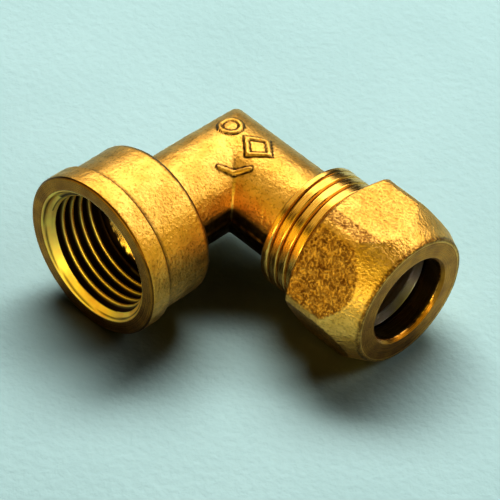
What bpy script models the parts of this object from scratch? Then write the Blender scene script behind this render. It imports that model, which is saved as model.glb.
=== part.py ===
"""Compression elbow, 90 degrees: a female pipe-thread socket turned to a compression joint.

Three pieces: the brass elbow body, the union nut and the olive that the nut squeezes onto
the pipe. Metres, +Z up. The socket's mouth faces -Y and the nut's end face +X. The origin
is the middle of the bounding box, on its lowest plane.
"""
import math

import bmesh
import bpy
from mathutils import Matrix

MM = 0.001
FACETS = 48                                # steps round every turned surface
QUARTER = math.pi / 2

# 1/2 inch parallel pipe thread, 55 degrees, right hand, on both ends of the body
PITCH = 25.4 * MM / 14
THREAD_DEPTH = 0.640327 * PITCH
MAJOR_R = 20.955 * MM / 2
FLANK_RUN = THREAD_DEPTH * math.tan(math.radians(27.5))
MALE_OFFSET = -0.12 * MM                   # radial allowance of each thread
SOCKET_OFFSET = 0.10 * MM
NUT_OFFSET = 0.20 * MM
TWIST = 0.3                                # of a facet, keeps threads off turned vertices

# Pipe joint
PIPE_R = 7.0 * MM                          # 14 mm copper pipe
PIPE_SLIDE = 0.14 * MM                     # radial clearance of a bore round the pipe
BORE_R = PIPE_R + PIPE_SLIDE

# Body, female leg: distances along the leg from the elbow's centre
SOCKET_MOUTH = 29.5 * MM
RIM_R = 13.3 * MM
RIM_LENGTH = 3.65 * MM
BAND_R = 12.5 * MM
SHOULDER = 16.4 * MM
SHOULDER_ROUND = 1.2 * MM
RIM_ROUND = 0.8 * MM
MOUTH_R = 11.0 * MM                        # wide end of the 45 degree mouth chamfer
SOCKET_DEPTH = 11.2 * MM                   # full thread, to the start of the drill point
DRILL_POINT = math.radians(59)             # half angle

# Body, tube and compression leg
TUBE_R = 8.0 * MM
WATERWAY_R = 5.75 * MM
COLLAR = 16.7 * MM                         # start of the plain collar behind the thread
COLLAR_LENGTH = 0.9 * MM
COLLAR_BEVEL = 0.3 * MM
COLLAR_R = 10.42 * MM
BODY_END = 28.8 * MM
PIPE_STOP = 17.5 * MM
SEAT_R = 8.8 * MM                          # wide end of the conical seat for the olive
SEAT_HALF_ANGLE = math.radians(40)
THREAD_BEVEL = 0.6 * MM

# Nut, distances along the compression leg
NUT_BACK = 24.0 * MM
NUT_END = 37.8 * MM
ACROSS_FLATS = 24.0 * MM
CORNER_R = 13.45 * MM
NUT_FACE_R = 10.8 * MM
NUT_CONE_LENGTH = 5.8 * MM                 # from the end face back to the blunted corners
NUT_BACK_R = 11.7 * MM
NUT_BACK_ANGLE = math.radians(30)
NUT_ROUND = 0.25 * MM
NUT_BEVEL = 0.4 * MM                       # chamfer at the front of the pipe bore
NUT_LIP = 34.4 * MM                        # inner end of the nut's pipe bore
NUT_THROAT_R = 9.0 * MM                    # wide end of the 45 degree cone onto the olive
RELIEF_LENGTH = 1.2 * MM

# Olive
OLIVE_BACK = 27.8 * MM
OLIVE_FRONT = 33.5 * MM
OLIVE_R = 8.55 * MM
OLIVE_BORE_R = 7.05 * MM
OLIVE_WALL = 0.5 * MM                      # wall left at each end
OLIVE_TAPER = 1.6 * MM

# The elbow's centre in the part's frame, from the bounding box
CENTRE_X = (RIM_R - NUT_END) / 2
CENTRE_Y = (SOCKET_MOUTH - CORNER_R) / 2
CENTRE = (CENTRE_X, CENTRE_Y, RIM_R)


def clear_scene():
    """Start from an empty scene."""
    for item in list(bpy.data.objects):
        bpy.data.objects.remove(item, do_unlink=True)


def brass(name, colour, roughness):
    """Brass with the colour and polish of one piece."""
    material = bpy.data.materials.new(name)
    material.use_nodes = True
    shader = material.node_tree.nodes["Principled BSDF"]
    shader.inputs["Base Color"].default_value = (*colour, 1.0)
    shader.inputs["Metallic"].default_value = 1.0
    shader.inputs["Roughness"].default_value = roughness
    return material


def object_from(name, mesh, leg=0.0, origin=0.0):
    """Object from a mesh about +X; leg turns it about Z, origin is its origin's place on +X."""
    mesh.transform(Matrix.Translation((-origin, 0.0, 0.0)))
    item = bpy.data.objects.new(name, mesh)
    item.rotation_euler.z = leg
    item.location.x = origin
    item.parent = bpy.data.objects["elbow_centre"]
    bpy.context.collection.objects.link(item)
    return item


def finish_mesh(bm, name):
    """Merge the seam, point the faces outward and shade the round surfaces smooth."""
    bmesh.ops.remove_doubles(bm, verts=bm.verts, dist=1e-7)
    bmesh.ops.recalc_face_normals(bm, faces=bm.faces)
    mesh = bpy.data.meshes.new(name)
    bm.to_mesh(mesh)
    bm.free()
    mesh.shade_smooth()
    mesh.set_sharp_from_angle(angle=math.radians(25))
    return mesh


def turned(name, outline):
    """Solid of revolution about +X from (distance, radius) points."""
    bm = bmesh.new()
    verts = [bm.verts.new((along, radius, 0.0)) for along, radius in outline]
    edges = [bm.edges.new(pair) for pair in zip(verts, verts[1:])]
    if outline[0][1] > 0:
        edges.append(bm.edges.new((verts[-1], verts[0])))
    bmesh.ops.spin(bm, geom=verts + edges, cent=(0, 0, 0), axis=(1, 0, 0),
                   angle=2 * math.pi, steps=FACETS, use_merge=True)
    return finish_mesh(bm, name)


def arc(centre, radius, start, end, steps=3):
    """Points of a quarter round between two angles, in (distance, radius)."""
    angles = [start + (end - start) * step / steps for step in range(steps + 1)]
    return [(centre[0] + radius * math.cos(a), centre[1] + radius * math.sin(a))
            for a in angles]


def thread_profile(offset):
    """One pitch of the thread: root flat, flank, crest flat, flank."""
    root = MAJOR_R - THREAD_DEPTH + offset
    crest = MAJOR_R + offset
    flat = PITCH / 2 - FLANK_RUN
    return [(0.0, root), (flat, root), (flat + FLANK_RUN, crest),
            (2 * flat + FLANK_RUN, crest)]


def threaded_rod(name, start, end, offset):
    """Rod about +X with a right-hand thread whose turns share their edges.

    The thread's phase depends only on the distance along the leg, so that two rods with
    different offsets nest in each other. The rod's two ends are ramps one pitch long.
    """
    profile = thread_profile(offset)
    start = math.floor(start / PITCH) * PITCH
    steps = math.ceil((end - start) / PITCH) * FACETS
    bm = bmesh.new()

    def vertex(step, shift, radius):
        turns = (step + TWIST) / FACETS
        angle = 2 * math.pi * turns
        along = start + shift + PITCH * turns
        return bm.verts.new((along, radius * math.cos(angle), radius * math.sin(angle)))

    helix = [vertex(step, *profile[0]) for step in range(steps + FACETS + 1)]
    columns = []
    for step in range(steps + 1):
        inner = [vertex(step, *point) for point in profile[1:]]
        columns.append([helix[step], *inner, helix[step + FACETS]])
    for left, right in zip(columns, columns[1:]):
        for row in range(len(left) - 1):
            bm.faces.new((left[row], left[row + 1], right[row + 1], right[row]))
    for first, column in ((0, columns[0]), (steps, columns[-1])):
        rim = helix[first:first + FACETS + 1]
        hub = bm.verts.new(((rim[0].co.x + rim[-1].co.x) / 2, 0.0, 0.0))
        for line in (rim, column):
            for pair in zip(line, line[1:]):
                bm.faces.new((hub, *pair))
    return finish_mesh(bm, name)


def mitred_tube(name, radius, back, ahead):
    """Round bar along the female leg to the centre and on along the compression leg."""
    bm = bmesh.new()
    rings = []
    for place in ("female", "mitre", "compression"):
        ring = []
        for step in range(FACETS):
            angle = 2 * math.pi * step / FACETS
            across = radius * math.cos(angle)
            height = radius * math.sin(angle)
            spot = {"female": (across, -back), "mitre": (across, -across),
                    "compression": (ahead, -across)}[place]
            ring.append(bm.verts.new((*spot, height)))
        rings.append(ring)
    for left, right in zip(rings, rings[1:]):
        for step in range(FACETS):
            after = (step + 1) % FACETS
            bm.faces.new((left[step], left[after], right[after], right[step]))
    bm.faces.new(rings[0])
    bm.faces.new(rings[-1])
    return finish_mesh(bm, name)


def hexagon_bar(name, start, end):
    """Hexagon bar along +X with two flats level."""
    corner = ACROSS_FLATS / 2 / math.cos(math.radians(30))
    bm = bmesh.new()
    ring = []
    for step in range(6):
        angle = math.radians(60 * step)
        point = (start, corner * math.cos(angle), corner * math.sin(angle))
        ring.append(bm.verts.new(point))
    face = bm.faces.new(ring)
    grown = bmesh.ops.extrude_face_region(bm, geom=[face])["geom"]
    moved = [item for item in grown if isinstance(item, bmesh.types.BMVert)]
    bmesh.ops.translate(bm, verts=moved, vec=(end - start, 0, 0))
    return finish_mesh(bm, name)


def guide(item):
    """Mark a shape that only builds others."""
    item.hide_render = True
    item.display_type = 'WIRE'
    return item


def combine(item, other, operation):
    """Boolean of two closed shapes, which leaves the second as a guide."""
    modifier = item.modifiers.new(other.name, 'BOOLEAN')
    modifier.operation = operation
    modifier.solver = 'EXACT'
    modifier.object = guide(other)


def female_socket():
    """Outer shape of the socket: shoulder, cast band and rim band."""
    outline = [(SHOULDER, 0.0)]
    outline += arc((SHOULDER + SHOULDER_ROUND, BAND_R - SHOULDER_ROUND), SHOULDER_ROUND,
                   2 * QUARTER, QUARTER)
    rim_start = SOCKET_MOUTH - RIM_LENGTH
    outline += [(rim_start, BAND_R), (rim_start, RIM_R)]
    outline += arc((SOCKET_MOUTH - RIM_ROUND, RIM_R - RIM_ROUND), RIM_ROUND, QUARTER, 0)
    outline.append((SOCKET_MOUTH, 0.0))
    return object_from("socket_shell", turned("socket_shell", outline), leg=-QUARTER)


def trimmed_thread(name, start, end, offset, limit, leg=0.0):
    """Threaded rod cut off by a turned limit."""
    thread = object_from(name, threaded_rod(name, start, end, offset), leg)
    combine(thread, object_from(name + "_limit", turned(name, limit), leg), 'INTERSECT')
    return thread


def socket_cavity():
    """Threaded hole of the socket, down to its drill point."""
    depth = SOCKET_MOUTH - SOCKET_DEPTH
    minor = MAJOR_R - THREAD_DEPTH + SOCKET_OFFSET
    outside = SOCKET_MOUTH + PITCH
    limit = [(depth - minor / math.tan(DRILL_POINT), 0.0), (depth, minor),
             (depth, MAJOR_R + PITCH), (outside, MAJOR_R + PITCH), (outside, 0.0)]
    return trimmed_thread("socket_cavity", depth - 4 * PITCH, outside + PITCH,
                          SOCKET_OFFSET, limit, leg=-QUARTER)


def mouth_chamfer():
    """Cone that opens the socket's first turn."""
    over = 1 * MM
    outline = [(SOCKET_MOUTH - MOUTH_R, 0.0), (SOCKET_MOUTH + over, MOUTH_R + over),
               (SOCKET_MOUTH + over, 0.0)]
    return object_from("mouth_chamfer", turned("mouth_chamfer", outline), leg=-QUARTER)


def male_end():
    """Threaded end of the compression leg, with the plain collar behind it."""
    crest = MAJOR_R + MALE_OFFSET
    start = COLLAR + COLLAR_LENGTH / 2
    limit = [(start, 0.0), (start, crest + PITCH),
             (BODY_END - THREAD_BEVEL - PITCH, crest + PITCH),
             (BODY_END, crest - THREAD_BEVEL), (BODY_END, 0.0)]
    end = trimmed_thread("male_end", start - 2 * PITCH, BODY_END + PITCH, MALE_OFFSET, limit)
    collar = [(COLLAR, 0.0), (COLLAR, COLLAR_R - COLLAR_BEVEL),
              (COLLAR + COLLAR_BEVEL, COLLAR_R), (COLLAR + COLLAR_LENGTH, COLLAR_R),
              (COLLAR + COLLAR_LENGTH, 0.0)]
    combine(end, object_from("collar", turned("collar", collar)), 'UNION')
    return end


def pipe_socket():
    """Bore for the pipe down to its stop, with the conical seat for the olive."""
    over = 1 * MM
    slope = math.tan(SEAT_HALF_ANGLE)
    seat_start = BODY_END - (SEAT_R - BORE_R) / slope
    outline = [(PIPE_STOP, 0.0), (PIPE_STOP, BORE_R), (seat_start, BORE_R),
               (BODY_END + over, SEAT_R + over * slope), (BODY_END + over, 0.0)]
    return object_from("pipe_socket", turned("pipe_socket", outline))


def elbow_body(material):
    """The casting: mitred tube, socket and threaded end, with its bores cut."""
    lap = 1.5 * MM
    tube = mitred_tube("elbow_body", TUBE_R, SHOULDER + lap, COLLAR + lap)
    body = object_from("elbow_body", tube)
    waterway = mitred_tube("waterway", WATERWAY_R, SHOULDER + lap, PIPE_STOP + lap)
    combine(body, female_socket(), 'UNION')
    combine(body, male_end(), 'UNION')
    combine(body, object_from("waterway", waterway), 'DIFFERENCE')
    combine(body, socket_cavity(), 'DIFFERENCE')
    combine(body, mouth_chamfer(), 'DIFFERENCE')
    combine(body, pipe_socket(), 'DIFFERENCE')
    body.data.materials.append(material)


def nut_envelope():
    """Turned outside of the nut: back chamfer, blunted corners and the long front cone."""
    back_run = (CORNER_R - NUT_BACK_R) * math.tan(NUT_BACK_ANGLE)
    outline = [(NUT_BACK, 0.0), (NUT_BACK, NUT_BACK_R),
               (NUT_BACK + back_run, CORNER_R), (NUT_END - NUT_CONE_LENGTH, CORNER_R),
               (NUT_END - NUT_ROUND, NUT_FACE_R), (NUT_END, NUT_FACE_R - NUT_ROUND),
               (NUT_END, 0.0)]
    return object_from("nut_envelope", turned("nut_envelope", outline))


def nut_thread():
    """Thread of the nut, from outside its back face into the relief."""
    outside = NUT_BACK - PITCH
    inside = relief_end() - RELIEF_LENGTH / 2
    limit = [(outside, 0.0), (outside, MAJOR_R + PITCH), (inside, MAJOR_R + PITCH),
             (inside, 0.0)]
    return trimmed_thread("nut_thread", outside - 2 * PITCH, inside + PITCH, NUT_OFFSET,
                          limit)


def relief_end():
    """Where the nut's thread relief meets its cone, whose slope is 45 degrees."""
    return NUT_LIP - (NUT_THROAT_R - BORE_R)


def nut_cavity():
    """Inside of the nut past its thread: relief, cone onto the olive and pipe bore."""
    relief_r = MAJOR_R + NUT_OFFSET + 0.05 * MM
    over = 1 * MM
    start = relief_end() - RELIEF_LENGTH
    outline = [(start, 0.0), (start, relief_r), (relief_end(), relief_r),
               (relief_end(), NUT_THROAT_R), (NUT_LIP, BORE_R),
               (NUT_END - NUT_BEVEL, BORE_R), (NUT_END + over, BORE_R + NUT_BEVEL + over),
               (NUT_END + over, 0.0)]
    return object_from("nut_cavity", turned("nut_cavity", outline))


def nut_entry():
    """45 degree chamfer at the back of the nut, where its thread starts."""
    over = 1 * MM
    wide = MAJOR_R + NUT_OFFSET + 0.2 * MM
    outline = [(NUT_BACK - over, 0.0), (NUT_BACK - over, wide + over),
               (NUT_BACK + wide, 0.0)]
    return object_from("nut_entry", turned("nut_entry", outline))


def compression_nut(material):
    """Union nut, its origin in its middle on the thread's axis."""
    lap = 1 * MM
    bar = hexagon_bar("compression_nut", NUT_BACK - lap, NUT_END + lap)
    nut = object_from("compression_nut", bar, origin=(NUT_BACK + NUT_END) / 2)
    combine(nut, nut_envelope(), 'INTERSECT')
    combine(nut, nut_thread(), 'DIFFERENCE')
    combine(nut, nut_cavity(), 'DIFFERENCE')
    combine(nut, nut_entry(), 'DIFFERENCE')
    nut.data.materials.append(material)


def olive(material):
    """Compression ring with a tapered end towards the seat and one towards the nut."""
    thin = OLIVE_BORE_R + OLIVE_WALL
    outline = [(OLIVE_BACK, OLIVE_BORE_R), (OLIVE_BACK, thin),
               (OLIVE_BACK + OLIVE_TAPER, OLIVE_R), (OLIVE_FRONT - OLIVE_TAPER, OLIVE_R),
               (OLIVE_FRONT, thin), (OLIVE_FRONT, OLIVE_BORE_R)]
    ring = object_from("olive", turned("olive", outline),
                       origin=(OLIVE_BACK + OLIVE_FRONT) / 2)
    ring.data.materials.append(material)


def main():
    clear_scene()
    centre = bpy.data.objects.new("elbow_centre", None)
    centre.location = CENTRE
    bpy.context.collection.objects.link(centre)
    elbow_body(brass("cast_brass", (0.60, 0.38, 0.10), 0.45))
    compression_nut(brass("tumbled_brass", (0.58, 0.37, 0.10), 0.40))
    olive(brass("turned_brass", (0.68, 0.50, 0.20), 0.30))


main()
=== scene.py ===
import math

import bmesh
import bpy
import numpy as np
from mathutils import Matrix, Vector, noise


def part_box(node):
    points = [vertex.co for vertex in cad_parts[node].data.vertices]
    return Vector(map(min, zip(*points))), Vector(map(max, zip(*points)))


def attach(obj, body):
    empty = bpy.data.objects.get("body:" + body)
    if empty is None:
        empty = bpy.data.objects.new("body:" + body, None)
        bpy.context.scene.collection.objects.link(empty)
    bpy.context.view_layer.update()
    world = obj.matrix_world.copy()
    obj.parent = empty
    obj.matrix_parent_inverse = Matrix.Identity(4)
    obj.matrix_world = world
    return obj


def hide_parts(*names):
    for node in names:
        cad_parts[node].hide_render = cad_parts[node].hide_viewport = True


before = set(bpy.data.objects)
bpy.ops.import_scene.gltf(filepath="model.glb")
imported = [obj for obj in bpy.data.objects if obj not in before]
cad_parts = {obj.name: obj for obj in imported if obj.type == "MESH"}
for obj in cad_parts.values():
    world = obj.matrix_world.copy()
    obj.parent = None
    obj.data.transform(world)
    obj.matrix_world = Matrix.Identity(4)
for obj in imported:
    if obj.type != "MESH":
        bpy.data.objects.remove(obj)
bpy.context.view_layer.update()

# Shapes are worked out in millimetres from the elbow's centre, where the two legs' axes
# meet. The female leg runs along -Y and the compression leg along +X.
MM = 0.001
QUARTER = math.pi / 2
FINE, MEDIUM, COARSE = 320, 160, 80        # columns round cast, machined and hidden surfaces
SKIN, CUT, FACE, THREAD = 0, 1, 2, 3       # material slots; the nut has three, the olive one

# The frame gives the places and the outer sizes
body_low, body_high = [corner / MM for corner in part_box("elbow_body")]
nut_low, nut_high = [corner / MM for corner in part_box("compression_nut")]
olive_low, olive_high = [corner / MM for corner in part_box("olive")]
RIM_R = (body_high.z - body_low.z) / 2
CENTRE = Vector((body_low.x + RIM_R, (nut_low.y + nut_high.y) / 2, body_low.z + RIM_R))
SOCKET_MOUTH = CENTRE.y - body_low.y
BODY_END = body_high.x - CENTRE.x
NUT_BACK, NUT_END = nut_low.x - CENTRE.x, nut_high.x - CENTRE.x
ACROSS_FLATS = nut_high.z - nut_low.z
CORNER_R = (nut_high.y - nut_low.y) / 2
OLIVE_BACK, OLIVE_FRONT = olive_low.x - CENTRE.x, olive_high.x - CENTRE.x
OLIVE_R = (olive_high.z - olive_low.z) / 2

# 1/2 inch parallel pipe thread: 55 degrees, 14 per inch, rounded crests and roots
PITCH = 25.4 / 14
DEPTH = 0.640327 * PITCH
MAJOR_R = 20.955 / 2
PITCH_R = MAJOR_R - DEPTH / 2
CREST_ROUND = 0.137329 * PITCH
FLANK_SLOPE = math.tan(math.radians(62.5))
ARC_REACH = CREST_ROUND * math.sin(math.radians(62.5))
MALE_OFFSET, SOCKET_OFFSET, NUT_OFFSET = -0.12, 0.10, 0.20

# Body
RIM_LENGTH = 3.65
BAND_R = 12.5
SHOULDER = 16.4
TUBE_R = 8.0
HEEL_DRAFT = 0.85                          # how much the female leg thins at the heel
WATERWAY_R = 5.75
BORE_R = 7.14
MOUTH_R = 11.0
SOCKET_DEPTH = 11.2
COLLAR = 16.7
COLLAR_LENGTH = 0.9
COLLAR_R = 10.4
GROOVE_DEPTH = 0.55                        # of the worn thread between the collar and the nut
GROOVE_REACH = 0.30                        # from a groove's middle to its edge
SEAT_ANGLE = math.radians(40)
DRILL_ANGLE = math.radians(59)
PIPE_STOP = 17.5
SEAT_R = 8.8

# Nut and olive
NUT_FACE_R = 10.8
NUT_BACK_R = 11.7
NUT_CONE = 5.8
NUT_LIP = 34.4
NUT_THROAT_R = 9.0
NUT_EDGE = 0.25                            # rounding of both ends of the nut
RELIEF_LENGTH = 1.2
OLIVE_BORE_R = 7.05
OLIVE_WALL = 0.5
OLIVE_TAPER = 1.6


# ------------------------------------------------------------------ surfaces
class Patch:
    """Stretch of a surface: rows of points in mm, and what its finish depends on.

    points has the shape (rows, columns + 1, 3), and the last column closes the ring. The
    darkening, 0 to 1, is mostly painted shade in corners, bores and thread roots, with some
    mottled darker patches. lathe is (distance, radius, angle), which turning marks follow.
    """

    def __init__(self, points, finish, grime_and_shade=0.0, lathe=None):
        self.points = points
        self.finish = finish
        self.grime_and_shade = np.clip(np.broadcast_to(grime_and_shade, points.shape[:2]), 0, 1)
        self.lathe = np.zeros(points.shape) if lathe is None else lathe

    def reversed(self):
        return Patch(self.points[::-1], self.finish, self.grime_and_shade[::-1], self.lathe[::-1])


def angles(count):
    return np.linspace(0, 2 * math.pi, count + 1)


def female_leg(along, radius, turn):
    """Points on the leg along -Y."""
    return np.stack([radius * np.cos(turn), -along, radius * np.sin(turn)], axis=-1)


def compression_leg(along, radius, turn):
    """Points on the leg along +X; angle 0 faces the other leg."""
    return np.stack([along, -radius * np.cos(turn), radius * np.sin(turn)], axis=-1)


def rounded(points, step=0.25):
    """Outline through (distance, radius, rounding) corners, with points along the runs."""
    spots = [np.array(point[:2], float) for point in points]
    outline = [spots[0]]

    def run_to(target):
        start = outline[-1]
        count = max(1, math.ceil(np.linalg.norm(target - start) / step))
        outline.extend(start + (target - start) * k / count for k in range(1, count + 1))

    for before, corner, after, point in zip(spots, spots[1:], spots[2:], points[1:]):
        size = point[2]
        if size == 0:
            run_to(corner)
            continue
        back = (before - corner) / np.linalg.norm(before - corner)
        ahead = (after - corner) / np.linalg.norm(after - corner)
        half = math.acos(np.clip(back @ ahead, -1, 1)) / 2
        reach = size / math.tan(half)
        hub = corner + (back + ahead) / np.linalg.norm(back + ahead) * size / math.sin(half)
        run_to(corner + back * reach)
        start, end = outline[-1] - hub, corner + ahead * reach - hub
        turn = math.pi - 2 * half
        count = max(3, math.ceil(turn / math.radians(18)))
        for k in range(1, count + 1):
            share = k / count
            arm = math.sin((1 - share) * turn) * start + math.sin(share * turn) * end
            outline.append(hub + arm / math.sin(turn))
    run_to(spots[-1])
    return np.array(outline)


def turned(leg, outline, count, finish, shade_spots=(), tarnish_and_shade=0.0):
    """Turned surface from a (distance, radius) outline.

    The spots are (distance, radius, reach) of corners near which shade is painted; the even
    darkening is painted shade too, slight on faces and heavy in bores.
    """
    turn = angles(count)
    along = np.repeat(outline[:, :1], count + 1, axis=1)
    radius = np.repeat(outline[:, 1:], count + 1, axis=1)
    grime_and_shade = np.full(along.shape, tarnish_and_shade)
    # Painted shade: dark bands round each listed corner
    for distance, height, reach in shade_spots:
        gap = np.hypot(along - distance, 1.7 * (radius - height))
        grime_and_shade = np.maximum(grime_and_shade, 0.85 * band_of(gap, reach, 0.25))
    lathe = np.stack([along, radius, np.broadcast_to(turn, along.shape)], axis=-1)
    return Patch(leg(along, radius, turn), finish, grime_and_shade, lathe)


def thread_height(phase):
    """Height of the thread over its pitch line; phase 0 is the middle of a root."""
    half = PITCH / 2
    root = -DEPTH / 2 + CREST_ROUND - np.sqrt(np.maximum(CREST_ROUND ** 2 - phase ** 2, 0))
    from_crest = half - phase
    crest = DEPTH / 2 - CREST_ROUND + np.sqrt(np.maximum(CREST_ROUND ** 2 - from_crest ** 2, 0))
    flank = (phase - half / 2) * FLANK_SLOPE
    return np.where(phase < ARC_REACH, root, np.where(phase > half - ARC_REACH, crest, flank))


def thread(leg, start, end, hand, shape, thread_shade, finish=CUT):
    """Threaded surface between two square cuts, which rows that follow the helix make.

    hand is the way the distance grows with the angle. shape(distance, phase) gives the
    radius, and the shade function (distance, phase) the painted shade in roots and flanks;
    phase is 0 in the middle of a root.
    """
    turn = angles(MEDIUM)
    rise = hand * PITCH * turn / (2 * math.pi)
    up = PITCH / 2 * np.array([0, 0.12, 0.24, 0.36, 0.5, 0.76, 1])
    places = np.concatenate([up, PITCH - up[-2:0:-1]])
    first, last = math.floor(start / PITCH) - 2, math.ceil(end / PITCH) + 2
    base = (np.arange(first, last)[:, None] * PITCH + places[None, :]).ravel()
    along = base[:, None] + rise[None, :]
    used = (along.max(axis=1) > start) & (along.min(axis=1) < end)
    ends = np.full((1, MEDIUM + 1), 1.0)
    along = np.concatenate([start * ends, np.clip(along[used], start, end), end * ends])
    phase = np.abs((along - rise[None, :] + PITCH / 2) % PITCH - PITCH / 2)
    radius = shape(along, phase)
    lathe = np.stack([along, radius, np.broadcast_to(turn, along.shape)], axis=-1)
    return Patch(leg(along, radius, turn), finish, thread_shade(along, phase), lathe)


def soft_min(a, b, blend):
    """Smaller of two radii, rounded where they cross."""
    share = np.maximum(blend - np.abs(a - b), 0) / blend
    return np.minimum(a, b) - share ** 2 * blend / 4


def corner_rows(radius, back, ahead, rounding, count, rows):
    """Rows of a mitred tube from the female leg round the corner to the compression leg.

    Each column is a line along one leg and a line along the other, joined by a round that
    is the crotch's fillet on the inside and the heel's round on the outside.
    """
    turn = angles(count)
    across = radius * np.cos(turn)
    height = radius * np.sin(turn)
    inside = (1 + np.cos(turn)) / 2
    size = rounding[1] + (rounding[0] - rounding[1]) * inside
    stack = []
    for share in np.linspace(0, 1, rows, endpoint=False):
        place = back + (across + size - back) * share
        stack.append(np.stack([across, -place, height], axis=-1))
    for bend in np.linspace(0, QUARTER, 9):
        stack.append(np.stack([across + size - size * math.cos(bend),
                               -across - size + size * math.sin(bend), height], axis=-1))
    for share in np.linspace(0, 1, rows + 1)[1:]:
        place = across + size + (ahead - across - size) * share
        stack.append(np.stack([place, -across, height], axis=-1))
    return np.array(stack)


# ------------------------------------------------------------------ relief
def push(points, height):
    """Points moved out along their grid's own normals."""
    ring = points[:, :-1]
    around = np.roll(ring, -1, axis=1) - np.roll(ring, 1, axis=1)
    around = np.concatenate([around, around[:, :1]], axis=1)
    normal = np.cross(np.gradient(points, axis=0), around)
    length = np.linalg.norm(normal, axis=-1, keepdims=True)
    return points + normal / np.maximum(length, 1e-9) * height[..., None]


def clouds(points, size, octaves=1):
    """Noise from -1 to 1 over the points, size millimetres from lump to lump."""
    flat = points.reshape(-1, 3) / size
    values = [noise.fractal(Vector(spot), 1.0, 2.0, octaves) for spot in flat]
    return np.array(values).reshape(points.shape[:-1])


def band_of(distance, half_width, slope):
    """1 within half_width of a line, falling smoothly to 0 over slope."""
    share = np.clip((half_width + slope - distance) / slope, 0, 1)
    return share * share * (3 - 2 * share)


def mark_distance(points):
    """Distance in plan to the plain ring, lozenge and bar cast on top of the corner."""
    x, y = points[..., 0], points[..., 1]
    ring = np.abs(np.hypot(x + 1.2, y - 0.2) - 1.65)
    long, wide = 2.5, 2.15
    lozenge = np.abs(np.abs(x - 4.9) / long + np.abs(y) / wide - 1) / math.hypot(1 / long, 1 / wide)
    middle, half = 5.3, 2.3
    beside = ((x - middle) + (y + middle)) / math.sqrt(2)
    past = np.maximum(np.abs(beside) - half, 0)
    bar = np.hypot(((x - middle) - (y + middle)) / math.sqrt(2), past)
    nearest = np.minimum(np.minimum(ring, lozenge), bar)
    return np.where(points[..., 2] > 2, nearest, 99)


def cast_relief(points, ridge):
    """Height of the casting's skin: slow waves, grain and the ridge of the parting line."""
    skin = 0.04 * clouds(points, 3.2) + 0.025 * clouds(points, 0.9, 2)
    return skin + ridge * np.exp(-(points[..., 2] / 0.24) ** 2)


def shade_outer_and_low(points):
    """Painted shade, mottled: darker on the elbow's outer side and towards the bottom of the
    casting.
    """
    x, y, z = (points[..., axis] for axis in range(3))
    outer = np.clip((np.maximum(-x, y) - 3.5) / 5, 0, 1) * (1 + 0.8 * clouds(points, 1.3, 2))
    low = np.clip((3 - z) / 9, 0, 1) * (1 + 1.6 * clouds(points, 0.7, 1))
    return 0.3 * np.maximum(outer, low)


def tumbled_relief(points):
    """Height of the nut's skin: shallow dents and small pits."""
    pits = np.maximum(clouds(points, 0.55, 2) - 0.25, 0)
    return 0.02 * clouds(points, 1.6, 2) - 0.05 * pits


# ------------------------------------------------------------------ pieces
def strip(first, first_count, second, second_count):
    """Faces between two rows, each given by its first vertex and its number of columns."""
    if first_count > second_count:
        return [face[::-1] for face in strip(second, second_count, first, first_count)]
    near = np.arange(first_count)
    if first_count == second_count:
        quads = [first + near, first + near + 1, second + near + 1, second + near]
        return np.stack(quads, axis=1).tolist()
    ratio = second_count // first_count
    far = np.arange(second_count)
    fans = [first + (far + ratio // 2) // ratio, second + far + 1, second + far]
    gaps = [first + near, first + near + 1, second + (near + 1) * ratio - ratio // 2]
    return np.stack(fans, axis=1).tolist() + np.stack(gaps, axis=1).tolist()


def solid(name, patches):
    """Closed piece from patches that follow each other and end where the first begins."""
    rows, start = [], 0
    for patch in patches:
        for _ in range(len(patch.points)):
            rows.append((start, patch.points.shape[1] - 1, patch.finish))
            start += patch.points.shape[1]
    faces, finishes = [], []
    for (one, count, finish), (two, next_count, _) in zip(rows, rows[1:] + rows[:1]):
        made = strip(one, count, two, next_count)
        faces += made
        finishes += [finish] * len(made)
    mesh = bpy.data.meshes.new(name)
    spots = np.concatenate([patch.points.reshape(-1, 3) for patch in patches])
    mesh.from_pydata((spots + np.array(CENTRE)) * MM, [], faces)
    mesh.polygons.foreach_set("material_index", np.array(finishes, np.int32))
    # Per-point darkening for the materials: mostly painted shade, with some mottled patches
    grime_and_shade = np.concatenate([patch.grime_and_shade.ravel() for patch in patches])
    lathe = np.concatenate([patch.lathe.reshape(-1, 3) for patch in patches])
    mesh.attributes.new("grime_and_shade", 'FLOAT', 'POINT').data.foreach_set("value", grime_and_shade)
    mesh.attributes.new("lathe", 'FLOAT_VECTOR', 'POINT').data.foreach_set(
        "vector", lathe.ravel())
    bm = bmesh.new()
    bm.from_mesh(mesh)
    bmesh.ops.remove_doubles(bm, verts=bm.verts, dist=1e-6)
    bmesh.ops.dissolve_degenerate(bm, dist=1e-7, edges=bm.edges)
    bm.to_mesh(mesh)
    bm.free()
    mesh.shade_smooth()
    mesh.set_sharp_from_angle(angle=math.radians(50))
    piece = bpy.data.objects.new(name, mesh)
    bpy.context.collection.objects.link(piece)
    return piece


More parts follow.
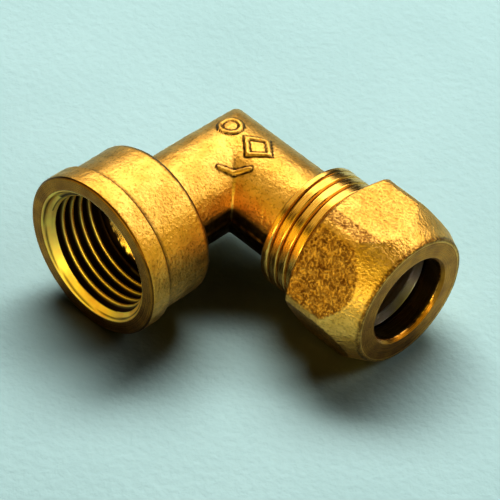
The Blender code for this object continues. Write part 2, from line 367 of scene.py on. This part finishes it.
def socket_shell():
    """Outside of the socket: rim face, rim, cast band and shoulder."""
    rim_back = SOCKET_MOUTH - RIM_LENGTH
    outline = rounded([
        (SOCKET_MOUTH, MOUTH_R + 0.1, 0), (SOCKET_MOUTH, RIM_R, 0.5),
        (rim_back, RIM_R, 0.15), (rim_back, BAND_R, 0.12),
        (SHOULDER, BAND_R, 1.2), (SHOULDER, TUBE_R, 0.5), (SHOULDER - 0.4, TUBE_R, 0)], 0.36)
    edge = int(np.argmax(outline[:, 0] < SOCKET_MOUTH - 0.3))
    # Painted shade: dark line at the rim's outer edge, slight even darkening of the face, dark
    # bands at the rim's back step and the shoulder, and the cast band darker on its outer side and
    # low down
    face = turned(female_leg, outline[:edge], FINE, FACE,
                  [(SOCKET_MOUTH, RIM_R, 0.25)], tarnish_and_shade=0.2)
    shell = turned(female_leg, outline[edge:], FINE, SKIN,
                   [(rim_back, BAND_R, 0.7), (SHOULDER, BAND_R, 0.7)])
    shell.grime_and_shade = np.clip(np.maximum(shell.grime_and_shade, shade_outer_and_low(shell.points)), 0, 1)
    shell.points = push(shell.points, cast_relief(shell.points, 0.08))
    return [face, shell]


def neck():
    """Cast tube round the corner, with its mark, parting line and draft."""
    points = corner_rows(TUBE_R, SHOULDER - 0.5, COLLAR - 0.5, (0.4, 1.2), FINE, 52)
    x, y, z = (points[..., axis] for axis in range(3))
    share = np.clip((y + SHOULDER) / (SHOULDER + TUBE_R), 0, 1)
    points[..., 0] += HEEL_DRAFT * share ** 2 * np.clip(-x / TUBE_R, 0, 1)
    mark = mark_distance(points)
    height = cast_relief(points, 0.26) + 0.30 * band_of(mark, 0.22, 0.22)
    # Painted shade: dark ring at the mark's foot, dark bands next to the shoulder and the collar,
    # and the crotch dark below the parting line
    outline = band_of(np.abs(mark - 0.50), 0.08, 0.12)
    ends = np.exp(-((y + SHOULDER) / 0.8) ** 2) + np.exp(-((x - COLLAR) / 0.7) ** 2)
    crotch_shade = np.clip(x / 3, 0, 1) * np.clip(-y / 3, 0, 1) * band_of(np.maximum(z, 0), 1.7, 0.7)
    grime_and_shade = np.maximum.reduce([outline, ends, shade_outer_and_low(points)]) + 0.85 * crotch_shade
    return Patch(push(points, height), SKIN, grime_and_shade)


def male_end():
    """Collar, external thread, conical seat and pipe bore."""
    collar = rounded([
        (COLLAR - 0.3, TUBE_R, 0), (COLLAR, TUBE_R, 0.2), (COLLAR, COLLAR_R, 0.2),
        (COLLAR + COLLAR_LENGTH, COLLAR_R, 0)], 0.2)
    thread_start = COLLAR + COLLAR_LENGTH
    crest = MAJOR_R + MALE_OFFSET

    def shape(along, phase):
        """Worn, wide crests as far as the nut, and the full thread under it."""
        full = PITCH_R + MALE_OFFSET + thread_height(phase)
        worn = crest - GROOVE_DEPTH * band_of(phase, 0, GROOVE_REACH)
        share = np.clip((along - NUT_BACK + 0.1) / 0.6, 0, 1)
        washout = COLLAR_R - (along - thread_start) * 1.7
        bevel = crest - 0.6 + (BODY_END - along)
        return np.minimum(np.maximum(worn + (full - worn) * share, washout), bevel)

    # Painted shade: thin dark lines in the roots up to the nut, wide dark roots under it
    def thread_shade(along, phase):
        return np.where(along < NUT_BACK, band_of(phase, 0.02, 0.13), band_of(phase, 0, 0.5))

    seat_end = BODY_END - (SEAT_R - BORE_R) / math.tan(SEAT_ANGLE)
    bore = rounded([
        (BODY_END, SEAT_R + 0.15, 0), (BODY_END, SEAT_R, 0.08),
        (seat_end, BORE_R, 0), (PIPE_STOP, BORE_R, 0.1),
        (PIPE_STOP, WATERWAY_R, 0.15), (PIPE_STOP - 0.6, WATERWAY_R, 0)], 0.8)
    # Painted shade in the corner at the collar's foot
    return [turned(compression_leg, collar, MEDIUM, CUT, [(COLLAR, TUBE_R, 0.6)]),
            thread(compression_leg, thread_start, BODY_END, -1, shape, thread_shade),
            turned(compression_leg, bore, MEDIUM, CUT)]


def socket_inside():
    """Waterway back round the corner, drill point and internal thread."""
    depth = SOCKET_MOUTH - SOCKET_DEPTH
    minor = MAJOR_R - DEPTH + SOCKET_OFFSET
    cone = depth - (minor - WATERWAY_R) / math.tan(DRILL_ANGLE)
    waterway = corner_rows(WATERWAY_R, cone, PIPE_STOP - 0.6, (0.5, 0.8), COARSE, 6)[::-1]
    drill = rounded([(cone, WATERWAY_R, 0), (depth, minor, 0)], 0.6)

    def shape(along, phase):
        radius = PITCH_R + SOCKET_OFFSET + thread_height(phase)
        runout = minor + (along - depth) * 1.5
        chamfer = MOUTH_R - (SOCKET_MOUTH - along)
        return np.maximum(np.minimum(radius, runout), chamfer)

    # Painted shade: the thread dark but for its crests and fully dark deep in; a thin dark line
    # just inside the mouth
    def thread_shade(along, phase):
        bare = along > SOCKET_MOUTH - MOUTH_R + PITCH_R
        line = band_of(np.abs(along - SOCKET_MOUTH + 0.32), 0.06, 0.08)
        flanks = np.maximum(1 - band_of(phase, 0.18, 0.2), along < depth + 1.5)
        return np.where(bare, 0.8 * line, flanks)

    # Painted shade: the waterway darkened evenly
    return [Patch(waterway, CUT, 0.8), turned(female_leg, drill, MEDIUM, CUT),
            thread(female_leg, depth, SOCKET_MOUTH - 0.1, 1, shape, thread_shade, finish=THREAD)]


def elbow():
    """The body's whole surface: out along both legs and back through its bores."""
    return [*socket_shell(), neck(), *male_end(), *socket_inside()]


def nut_radius(along):
    """Outside of the nut: hexagon with blunted corners, back chamfer and front cone."""
    from_flat = angles(FINE) % (math.pi / 3) - math.pi / 6
    hexagon = ACROSS_FLATS / 2 / np.cos(from_flat)
    slope = (CORNER_R - NUT_FACE_R) / NUT_CONE
    cone = NUT_FACE_R + (NUT_END - along) * slope
    back = NUT_BACK_R + (along - NUT_BACK) / math.tan(math.radians(30))
    bar = soft_min(hexagon, np.full_like(hexagon, CORNER_R + 0.02), 0.2)
    return soft_min(soft_min(bar, cone, 0.15), back, 0.2)


def nut_skin():
    """Outside of the nut, with painted shade on the flats that face the other leg and the floor at
    rest.
    """
    bends = np.linspace(0, QUARTER, 4)[:0:-1]
    outside = [(NUT_BACK + NUT_EDGE * (1 - math.sin(bend)), NUT_EDGE * (1 - math.cos(bend)))
               for bend in bends]
    outside += [(along, 0.0)
                for along in np.linspace(NUT_BACK + NUT_EDGE, NUT_END - NUT_EDGE, 96)]
    bends = np.linspace(0, QUARTER, 5)[1:]
    outside += [(NUT_END - NUT_EDGE * (1 - math.sin(bend)), NUT_EDGE * (1 - math.cos(bend)))
                for bend in bends]
    turn = angles(FINE)
    along = np.repeat([[place] for place, _ in outside], FINE + 1, axis=1)
    radius = np.array([
        nut_radius(min(max(place, NUT_BACK + NUT_EDGE), NUT_END - NUT_EDGE)) - drop
        for place, drop in outside])
    skin = compression_leg(along, radius, turn)
    hexagon = ACROSS_FLATS / 2 / np.cos(turn % (math.pi / 3) - math.pi / 6)
    on_flat = band_of(hexagon - radius, 0.02, 0.12)
    # Painted shade: dark, mottled flats facing the other leg and the floor, and a dark band at the
    # front edge
    dull = np.where(np.cos(turn + 0.3) > 0, 0.75, 0.1)
    flat_and_edge_shade = on_flat * dull * (1 + 0.5 * clouds(skin, 1.2, 2))
    flat_and_edge_shade = np.maximum(flat_and_edge_shade, 0.8 * band_of(NUT_END - along, 0.3, 0.4))
    return Patch(push(skin, tumbled_relief(skin)), SKIN, flat_and_edge_shade)


def nut_thread(throat, wide):
    """Internal thread from the throat back to the mouth, whose chamfer starts at wide."""

    def shape(along, phase):
        radius = PITCH_R + NUT_OFFSET + thread_height(phase)
        return np.maximum(radius, wide - (along - NUT_BACK))

    # Painted shade: the thread dark but for its crests
    def thread_shade(along, phase):
        return 1 - band_of(phase, 0.15, 0.3)

    start, end = NUT_BACK + 0.05, throat - RELIEF_LENGTH
    return thread(compression_leg, start, end, -1, shape, thread_shade).reversed()


def nut():
    """The nut's whole surface: back face, outside, end face, bore and thread."""
    throat = NUT_LIP - (NUT_THROAT_R - BORE_R)
    relief_r = MAJOR_R + NUT_OFFSET + 0.05
    wide = MAJOR_R + NUT_OFFSET + 0.2
    back = rounded([(NUT_BACK, wide + 0.05, 0), (NUT_BACK, NUT_BACK_R - 0.6, 0)], 0.3)
    face = rounded([(NUT_END, NUT_FACE_R - 0.5, 0), (NUT_END, BORE_R + 0.5, 0.08),
                    (NUT_END - 0.5, BORE_R, 0)], 0.25)
    inside = rounded([
        (NUT_END - 0.5, BORE_R, 0), (NUT_LIP, BORE_R, 0.1), (throat, NUT_THROAT_R, 0),
        (throat, relief_r, 0.1), (throat - RELIEF_LENGTH, relief_r, 0)], 0.4)
    return [turned(compression_leg, back, MEDIUM, CUT), nut_skin(),
            turned(compression_leg, face, MEDIUM, FACE),
            # Painted shade: the bore darkened evenly
            turned(compression_leg, inside, MEDIUM, CUT, tarnish_and_shade=0.75),
            nut_thread(throat, wide)]


def olive():
    """Double-bevelled ring, a little belled at the front of its bore."""
    thin = OLIVE_BORE_R + OLIVE_WALL
    outline = rounded([
        (OLIVE_BACK, OLIVE_BORE_R + 0.2, 0), (OLIVE_BACK, thin, 0.1),
        (OLIVE_BACK + OLIVE_TAPER, OLIVE_R, 0.8), (OLIVE_FRONT - OLIVE_TAPER, OLIVE_R, 0.8),
        (OLIVE_FRONT, thin + 0.1, 0.1), (OLIVE_FRONT, thin - 0.1, 0.05),
        (OLIVE_FRONT - 1.3, OLIVE_BORE_R, 0.4),
        (OLIVE_BACK, OLIVE_BORE_R, 0.15), (OLIVE_BACK, OLIVE_BORE_R + 0.19, 0)], 0.3)
    return [turned(compression_leg, outline, MEDIUM, SKIN)]


# ------------------------------------------------------------------ materials
class Finish:
    """A material that starts as bare metal, with short ways to add nodes to it."""

    def __init__(self, name):
        self.material = bpy.data.materials.new(name)
        self.material.use_nodes = True
        self.nodes = self.material.node_tree.nodes
        self.links = self.material.node_tree.links
        self.shader = self.nodes["Principled BSDF"]
        self.shader.inputs["Metallic"].default_value = 1.0
        self.place = self.nodes.new("ShaderNodeTexCoord").outputs["Object"]

    def attribute(self, name):
        node = self.nodes.new("ShaderNodeAttribute")
        node.attribute_name = name
        return node

    def clouds(self, size, detail, place=None, stretch=(1, 1, 1)):
        """Noise with lumps of about size metres, or of size units of another place."""
        mapping = self.nodes.new("ShaderNodeMapping")
        mapping.inputs["Scale"].default_value = stretch
        self.links.new(place or self.place, mapping.inputs["Vector"])
        texture = self.nodes.new("ShaderNodeTexNoise")
        texture.inputs["Scale"].default_value = 1 / size
        texture.inputs["Detail"].default_value = detail
        self.links.new(mapping.outputs["Vector"], texture.inputs["Vector"])
        return texture.outputs["Fac"]

    def ramp(self, source, *stops):
        """Colours, or single values, at positions along a value."""
        node = self.nodes.new("ShaderNodeValToRGB")
        elements = node.color_ramp.elements
        while len(elements) < len(stops):
            elements.new(0.5)
        for element, (position, colour) in zip(elements, stops):
            element.position = position
            rgb = colour if len(colour) == 3 else colour * 3
            element.color = (*rgb, 1)
        self.links.new(source, node.inputs["Fac"])
        return node.outputs["Color"]

    def mix(self, share, first, second, how='MIX'):
        node = self.nodes.new("ShaderNodeMix")
        node.data_type, node.blend_type = 'RGBA', how
        for socket, value in (("Factor", share), ("A", first), ("B", second)):
            wanted = 'VALUE' if socket == "Factor" else 'RGBA'
            target = next(item for item in node.inputs
                          if item.name == socket and item.type == wanted)
            if isinstance(value, bpy.types.NodeSocket):
                self.links.new(value, target)
            else:
                target.default_value = value
        return next(item for item in node.outputs if item.type == 'RGBA')

    def bump(self, height, distance, below=None):
        node = self.nodes.new("ShaderNodeBump")
        node.inputs["Distance"].default_value = distance
        self.links.new(height, node.inputs["Height"])
        if below:
            self.links.new(below, node.inputs["Normal"])
        return node.outputs["Normal"]

    def use(self, colour, roughness, normal):
        self.links.new(colour, self.shader.inputs["Base Color"])
        self.links.new(roughness, self.shader.inputs["Roughness"])
        self.links.new(normal, self.shader.inputs["Normal"])
        return self.material


GOLD = (0.90, 0.56, 0.16)
DULL = (0.74, 0.43, 0.10)
BROWN = (0.38, 0.18, 0.025)
UMBER = (0.15, 0.06, 0.009)
# Near black that the darkening attribute mixes in: mostly painted shade, partly dark patches
GRIME_SHADE_BLACK = (0.035, 0.014, 0.004)


def cast_brass():
    """Sand-cast skin: patches of tarnish, fine grain, and painted shade in recesses and low places.
    """
    finish = Finish("cast_brass")
    patches = finish.ramp(finish.clouds(0.0032, 4), (0.35, GOLD), (0.62, DULL))
    specks = finish.ramp(finish.clouds(0.0004, 3), (0.54, (0.0,)), (0.66, (0.5,)))
    colour = finish.mix(specks, patches, (*BROWN, 1))
    # Painted shade: darker where the darkening attribute is high
    colour = finish.mix(finish.attribute("grime_and_shade").outputs["Fac"], colour, (*GRIME_SHADE_BLACK, 1))
    roughness = finish.ramp(finish.clouds(0.0012, 4), (0.3, (0.32,)), (0.7, (0.44,)))
    dents = finish.bump(finish.clouds(0.0005, 3), 0.0001)
    grain = finish.bump(finish.clouds(0.00022, 3), 0.00004, dents)
    return finish.use(colour, roughness, grain)


def tumbled_brass():
    """Skin of the nut: coarse speckle of small dents, and mottled painted shade towards umber."""
    finish = Finish("tumbled_brass")
    patches = finish.ramp(finish.clouds(0.0022, 4), (0.35, GOLD), (0.65, DULL))
    grains = finish.clouds(0.00042, 2)
    specks = finish.ramp(grains, (0.50, (0.0,)), (0.62, (0.35,)))
    clean = finish.mix(specks, patches, (*BROWN, 1))
    # Painted shade, mottled by the grain, where the darkening attribute is high
    mottle = finish.ramp(grains, (0.36, (0.4,)), (0.54, (1.0,)))
    share = finish.mix(1.0, finish.attribute("grime_and_shade").outputs["Color"], mottle, 'MULTIPLY')
    colour = finish.mix(share, clean, (*UMBER, 1))
    roughness = finish.ramp(finish.clouds(0.0008, 4), (0.3, (0.28,)), (0.7, (0.42,)))
    dents = finish.bump(grains, 0.00016)
    grain = finish.bump(finish.clouds(0.0002, 3), 0.00004, dents)
    return finish.use(colour, roughness, grain)


def machined_brass(name, bright, dull, low, high):
    """Turned surface: rings that follow the tool, a little tarnish, and painted shade."""
    finish = Finish(name)
    lathe = finish.attribute("lathe").outputs["Vector"]
    rings = finish.clouds(0.06, 3, lathe, (1, 1, 0.02))
    tarnish_and_shade = finish.ramp(finish.clouds(0.0025, 4), (0.35, bright), (0.68, dull))
    # Painted shade: darker where the darkening attribute is high
    colour = finish.mix(finish.attribute("grime_and_shade").outputs["Fac"], tarnish_and_shade, (*GRIME_SHADE_BLACK, 1))
    roughness = finish.ramp(rings, (0.35, (low,)), (0.65, (high,)))
    return finish.use(colour, roughness, finish.bump(rings, 0.000008))


# ------------------------------------------------------------------ studio
LAMP_DISTANCE = 1.2
PAPER_HALF = 1.5


def camera():
    """Long lens from above, between the two legs."""
    azimuth, elevation, roll = (math.radians(turn) for turn in (41.41, 44.66, 5.49))
    back = Vector((math.sin(azimuth) * math.cos(elevation),
                   -math.cos(azimuth) * math.cos(elevation), math.sin(elevation)))
    level = Vector((math.cos(azimuth), math.sin(azimuth), 0))
    rise = back.cross(level)
    right = math.cos(roll) * level + math.sin(roll) * rise
    up = -math.sin(roll) * level + math.cos(roll) * rise
    data = bpy.data.cameras.new("camera")
    data.lens = 261.5
    data.clip_end = 10
    view = bpy.data.objects.new("camera", data)
    spot = (CENTRE + 2.79 * right - 12.59 * up + 557.97 * back) * MM
    turn = Matrix((right, up, back)).transposed().to_4x4()
    view.matrix_world = Matrix.Translation(spot) @ turn
    bpy.context.collection.objects.link(view)
    bpy.context.scene.camera = view


def lamp(name, azimuth, elevation, size, radiance, colour, on_paper=False):
    """Soft rectangular lamp that lights only the paper, or only the metal.

    Azimuth 0 is on the side that the socket faces. size is how far across and how high it
    looks from the fitting, in degrees.
    """
    distance = LAMP_DISTANCE
    data = bpy.data.lights.new(name, 'AREA')
    data.shape = 'RECTANGLE'
    data.size, data.size_y = (2 * distance * math.tan(math.radians(part / 2)) for part in size)
    data.energy = radiance * math.pi * data.size * data.size_y
    data.color = colour
    light = bpy.data.objects.new(name, data)
    side, lift = math.radians(azimuth), math.radians(elevation)
    aim = Vector((math.sin(side) * math.cos(lift), -math.cos(side) * math.cos(lift),
                  math.sin(lift)))
    light.location = CENTRE * MM + aim * distance
    light.rotation_mode = 'QUATERNION'
    light.rotation_quaternion = aim.to_track_quat('Z', 'Y')
    light.visible_camera = False
    light.visible_diffuse = on_paper
    light.visible_glossy = not on_paper
    bpy.context.collection.objects.link(light)


def paper():
    """Pale paper, sloping a little so that it touches both the rim and the nut."""
    mesh = bpy.data.meshes.new("paper")
    side = PAPER_HALF
    mesh.from_pydata([(-side, -side, 0), (side, -side, 0), (side, side, 0), (-side, side, 0)],
                     [], [(0, 1, 2, 3)])
    floor = bpy.data.objects.new("paper", mesh)
    lift = (RIM_R - ACROSS_FLATS / 2) / (NUT_END - NUT_CONE / 2)
    floor.rotation_euler.y = -math.atan(lift)
    floor.location = (CENTRE.x * MM, 0, 0)
    bpy.context.collection.objects.link(floor)
    finish = Finish("paper")
    finish.shader.inputs["Metallic"].default_value = 0.0
    finish.shader.inputs["Specular IOR Level"].default_value = 0.0
    tint = finish.ramp(finish.clouds(0.03, 5), (0.3, (0.27, 0.345, 0.335)),
                       (0.7, (0.29, 0.365, 0.355)))
    matt = finish.ramp(finish.clouds(0.004, 3), (0.3, (0.85,)), (0.7, (0.95,)))
    mesh.materials.append(finish.use(tint, matt, finish.bump(finish.clouds(0.0014, 4), 0.00018)))


def studio():
    """Two lamps behind for the paper; for the metal, a wide one behind and warm ones around."""
    paper()
    lamp("wash", 224, 58, (48, 22), 25.0, (0.95, 1.0, 1.0), on_paper=True)
    lamp("side_wash", 138, 35, (20, 20), 11.0, (0.95, 1.0, 1.0), on_paper=True)
    lamp("key", 195, 50, (104, 44), 2.55, (1.0, 0.99, 0.96))
    lamp("front", 38, 40, (90, 56), 0.78, (1.0, 0.90, 0.15))
    lamp("window", 30, 14, (90, 8), 5.0, (1.0, 0.98, 0.6))
    lamp("left_card", -32, 16, (60, 34), 1.3, (1.0, 0.82, 0.14))
    lamp("right_card", 118, 16, (54, 30), 0.9, (1.0, 0.95, 0.15))
    lamp("left_top", -85, 58, (56, 40), 0.95, (1.0, 0.90, 0.5))
    world = bpy.data.worlds.new("room")
    world.use_nodes = True
    sky = world.node_tree.nodes["Background"]
    sky.inputs["Color"].default_value = (1.0, 0.75, 0.5, 1)
    sky.inputs["Strength"].default_value = 0.01
    bpy.context.scene.world = world
    bpy.context.scene.view_settings.view_transform = 'Standard'
    bpy.context.scene.view_settings.gamma = 0.75


# ------------------------------------------------------------------ assembly
def main():
    camera()
    turned_brass = machined_brass("machined_brass", GOLD, DULL, 0.18, 0.30)
    # Darker copy of the brass for the end faces: painted shade
    shaded_face_brass = machined_brass("shaded_face_brass", (0.54, 0.26, 0.035), (0.34, 0.15, 0.02), 0.20, 0.34)
    # Lighter copy of the brass for the socket's thread: painted highlight
    lit_thread_brass = machined_brass("lit_thread_brass", (0.95, 0.74, 0.2), GOLD, 0.36, 0.5)
    ring_brass = machined_brass("ring_brass", (0.58, 0.54, 0.56), (0.42, 0.38, 0.40), 0.25, 0.38)
    pieces = [
        ("elbow_casting", elbow(), (cast_brass(), turned_brass, shaded_face_brass, lit_thread_brass), "body",
         "elbow_body", "cast_brass"),
        ("union_nut", nut(), (tumbled_brass(), turned_brass, shaded_face_brass), "nut",
         "compression_nut", "nut_brass"),
        ("compression_olive", olive(), (ring_brass,), "olive", "olive", "olive_brass"),
    ]
    for name, patches, materials, body, node, slot in pieces:
        piece = solid(name, patches)
        for material in materials:
            piece.data.materials.append(material)
        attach(piece, body)
        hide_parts(node)
    studio()


main()
